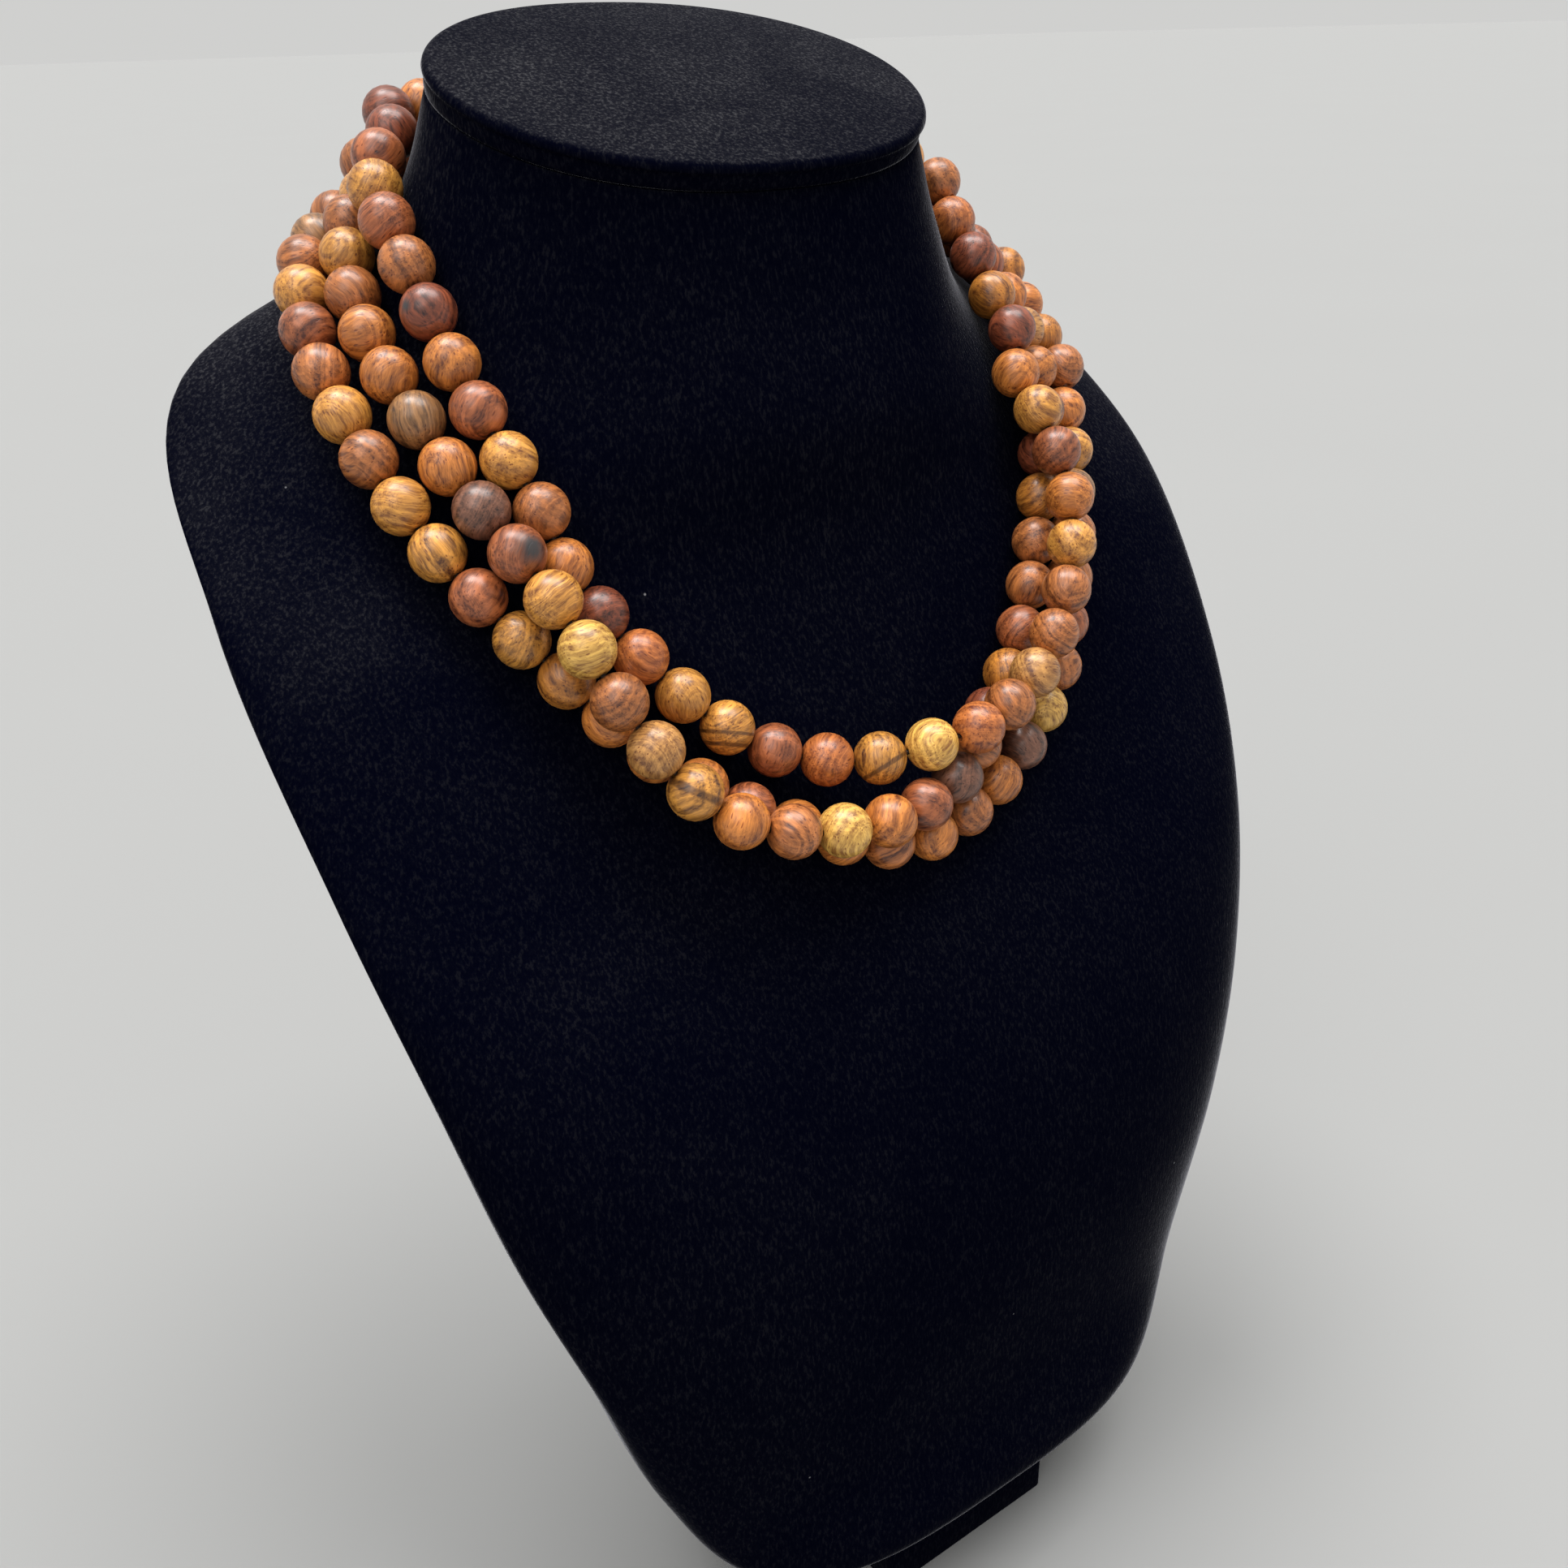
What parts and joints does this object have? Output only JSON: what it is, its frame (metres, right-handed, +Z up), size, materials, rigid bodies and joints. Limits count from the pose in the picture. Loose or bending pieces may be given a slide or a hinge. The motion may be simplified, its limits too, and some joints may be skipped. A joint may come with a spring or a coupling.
{
  "type": "beaded necklace on neck bust",
  "caption": "Necklace of strands of round wooden beads, held by a clasp at the nape, on a free-standing velvet-covered neck bust with a leaning chest, flat oval neck top and foot block.",
  "frame": {"origin": "middle of the bounding box's bottom, in the plane that the foot block rests on", "axes": "+Z up along the bust's height, -Y the way the chest faces, +X to the right seen from the front"},
  "size_m": [0.218, 0.1602, 0.324],
  "materials": {
    "bust_velvet": "matte black velvet",
    "cap_velvet": "matte black velvet",
    "foot_velvet": "matte black velvet",
    "inner_beads": "waxed satin hardwood",
    "middle_beads": "waxed satin hardwood",
    "outer_beads": "waxed satin hardwood",
    "clasp_metal": "satin"
  },
  "bodies": {
    "root": {"bust_body": "bust_velvet", "neck_cap": "cap_velvet", "foot_block": "foot_velvet", "strand_inner": "inner_beads", "strand_middle": "middle_beads", "strand_outer": "outer_beads", "clasp": "clasp_metal"}
  },
  "joints": []
}
